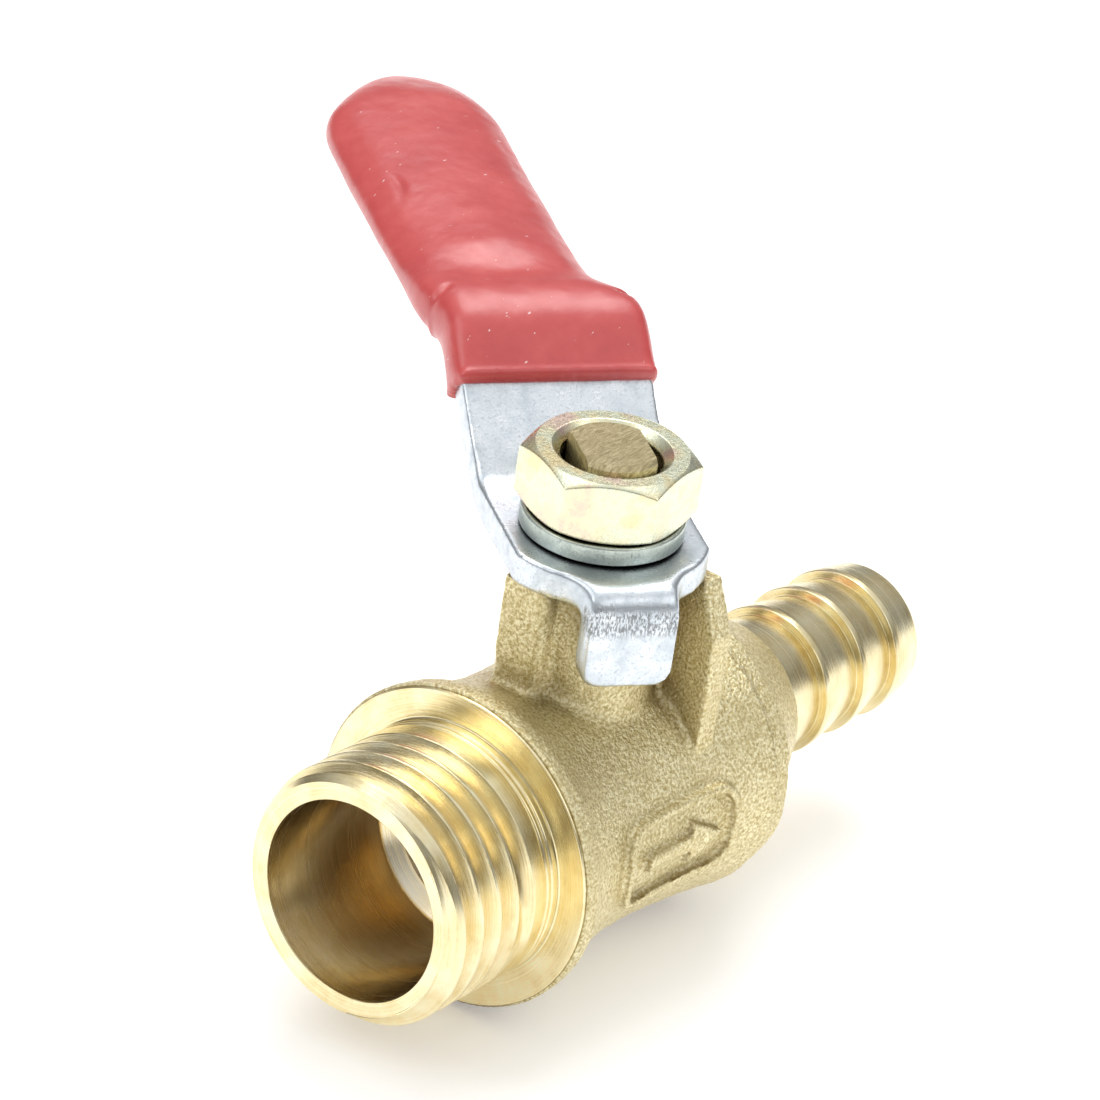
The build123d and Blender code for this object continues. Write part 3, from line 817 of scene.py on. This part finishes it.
def red_vinyl():
    """Dipped vinyl, slightly cloudy, with specks of dust."""
    look = Look("dipped_red_vinyl", Coat_Weight=0.6, Coat_Roughness=0.3, IOR=1.55)
    cloud = look.noise(0.28, 4, 0.6)
    colour = look.ramp(
        cloud, (0.3, (0.50, 0.040, 0.042)), (0.5, (0.56, 0.055, 0.055)), (0.72, (0.62, 0.085, 0.08)))
    dust = look.range(look.noise(1.9, 2, 0.5, stretch=(1.0, 2.4, 1.0)), 0.735, 0.76)
    colour = look.blend(look.times(dust, 0.7), colour, (0.92, 0.74, 0.72))
    rough = look.ramp(look.noise(1.4, 4, 0.6), (0.3, 0.30), (0.7, 0.46))
    soft = look.bump(look.noise(0.7, 2), 0.3, 0.25)
    grain = look.bump(look.noise(6.0, 3), 0.1, 0.05, soft)
    return look.set(Base_Color=colour, Roughness=rough, Normal=grain)


def polished_ball():
    look = Look("ball_brass", Metallic=1.0)
    stain = look.noise(0.9, 3)
    return look.set(
        Base_Color=look.ramp(stain, (0.3, (0.60, 0.40, 0.15)), (0.7, (0.86, 0.66, 0.33))),
        Roughness=look.ramp(stain, (0.3, 0.14), (0.7, 0.3)),
        Normal=look.bump(look.noise(8.0), 0.08, 0.03))


def seal_look(name, dark, light, rough):
    look = Look(name)
    grain = look.noise(4.0, 4)
    return look.set(
        Base_Color=look.ramp(grain, (0.3, dark), (0.7, light)),
        Roughness=look.ramp(grain, (0.3, rough), (0.7, rough + 0.12)),
        Normal=look.bump(grain, 0.15, 0.05))


# ---------------------------------------------------------------- stage
def pale_floor():
    z = cad_low.z - FLOOR_GAP
    corners = [(x * FLOOR_HALF, y * FLOOR_HALF, z) for x, y in ((-1, -1), (1, -1), (1, 1), (-1, 1))]
    mesh = bpy.data.meshes.new("floor")
    mesh.from_pydata(corners, [], [(0, 1, 2, 3)])
    floor = bpy.data.objects.new("floor", mesh)
    bpy.context.scene.collection.objects.link(floor)
    white = bpy.data.materials.new("pale_floor")
    white.use_nodes = True
    sockets = white.node_tree.nodes["Principled BSDF"].inputs
    sockets["Base Color"].default_value = (0.93, 0.93, 0.93, 1)
    sockets["Roughness"].default_value = 0.6
    sockets["Emission Color"].default_value = (1, 1, 1, 1)
    sockets["Emission Strength"].default_value = 0.28
    mesh.materials.append(white)


def sky():
    """Grey levels from nadir to zenith for light and reflections, and plain white to the camera."""
    world = bpy.data.worlds.new("studio")
    bpy.context.scene.world = world
    world.use_nodes = True
    tree = world.node_tree
    background = tree.nodes["Background"]
    coordinates = tree.nodes.new("ShaderNodeTexCoord")
    separate = tree.nodes.new("ShaderNodeSeparateXYZ")
    tree.links.new(coordinates.outputs["Generated"], separate.inputs[0])
    ramp = tree.nodes.new("ShaderNodeValToRGB")
    scale = tree.nodes.new("ShaderNodeMapRange")
    scale.inputs["From Min"].default_value = -1
    tree.links.new(separate.outputs[2], scale.inputs["Value"])
    tree.links.new(scale.outputs["Result"], ramp.inputs["Fac"])
    while len(ramp.color_ramp.elements) < len(SKY):
        ramp.color_ramp.elements.new(0.5)
    for element, (position, level) in zip(ramp.color_ramp.elements, SKY):
        element.position = position
        element.color = (level, level, level, 1)
    seen = tree.nodes.new("ShaderNodeLightPath")
    mix = tree.nodes.new("ShaderNodeMix")
    mix.data_type = "RGBA"
    sockets = [s for s in mix.inputs if s.type == "RGBA"]
    sockets[1].default_value = (1.0, 1.0, 1.0, 1)
    tree.links.new(seen.outputs["Is Camera Ray"], mix.inputs["Factor"])
    tree.links.new(ramp.outputs["Color"], sockets[0])
    tree.links.new([s for s in mix.outputs if s.type == "RGBA"][0], background.inputs["Color"])
    background.inputs["Strength"].default_value = 1.0


def outward(azimuth, elevation):
    """Unit vector at angles in radians, azimuth 0 being -Y."""
    flat = math.cos(elevation)
    return Vector((math.sin(azimuth) * flat, -math.cos(azimuth) * flat, math.sin(elevation)))


def soft_light(name, azimuth, elevation, distance, size, power):
    """Square softbox aimed at the middle of the object."""
    data = bpy.data.lights.new(name, "AREA")
    data.shape = "SQUARE"
    data.size = size
    data.energy = power
    light = bpy.data.objects.new(name, data)
    bpy.context.scene.collection.objects.link(light)
    away = outward(math.radians(azimuth), math.radians(elevation))
    light.location = Vector(LIGHT_TARGET) + away * distance
    light.rotation_mode = "QUATERNION"
    light.rotation_quaternion = away.to_track_quat("Z", "Y")


def camera():
    data = bpy.data.cameras.new("camera")
    data.sensor_width = SENSOR_WIDTH
    data.lens = CAMERA_LENS
    data.clip_start = 0.01
    data.clip_end = 20
    obj = bpy.data.objects.new("camera", data)
    bpy.context.scene.collection.objects.link(obj)
    turn, rise, roll = (math.radians(v) for v in (CAMERA_AZIMUTH, CAMERA_ELEVATION, CAMERA_ROLL))
    back = outward(turn, rise)
    level = (-back).cross(Vector((0, 0, 1))).normalized()
    up = level.cross(-back)
    right = level * math.cos(roll) + up * math.sin(roll)
    over = up * math.cos(roll) - level * math.sin(roll)
    place = Matrix((right, over, back)).transposed().to_4x4()
    place.translation = (Vector(CAMERA_TARGET) + back * CAMERA_DISTANCE) * MM
    obj.matrix_world = place
    bpy.context.scene.camera = obj


def dress(obj, look):
    """Give an object one material in place of any it has."""
    if obj.data.materials:
        for i in range(len(obj.data.materials)):
            obj.data.materials[i] = look
    else:
        obj.data.materials.append(look)


dress(turned_end(), turned_brass())
dress(casting(), cast_brass())
dress(hose_tail(), tail_brass())
dress(lever_strip(), zinc_steel("zinc_plated_lever", tab_wear=True))
dress(sleeve(), red_vinyl())
dress(hex_nut(), nut_steel())
dress(lock_washer(), zinc_steel("zinc_plated_washer", tint=(0.80, 0.82, 0.70)))

nodes = frame["nodes"]
dress(nodes["stem"], stem_brass())
dress(nodes["ball"], polished_ball())
ptfe = seal_look("ptfe_white", (0.80, 0.79, 0.76), (0.90, 0.89, 0.87), 0.36)
for seal in ("inlet_seat", "outlet_seat", "stem_thrust_washer"):
    dress(nodes[seal], ptfe)
rubber = seal_look("seal_rubber", (0.012, 0.012, 0.013), (0.03, 0.03, 0.032), 0.5)
for seal in ("stem_o_ring_lower", "stem_o_ring_upper"):
    dress(nodes[seal], rubber)

camera()
pale_floor()
sky()
soft_light("overhead", 128, 62, 0.6, 0.42, 1.9)
soft_light("left_front", -122, 38, 0.6, 0.35, 0.6)
soft_light("right_front", 8, 35, 0.6, 0.35, 0.5)
bpy.context.scene.view_settings.view_transform = "Standard"
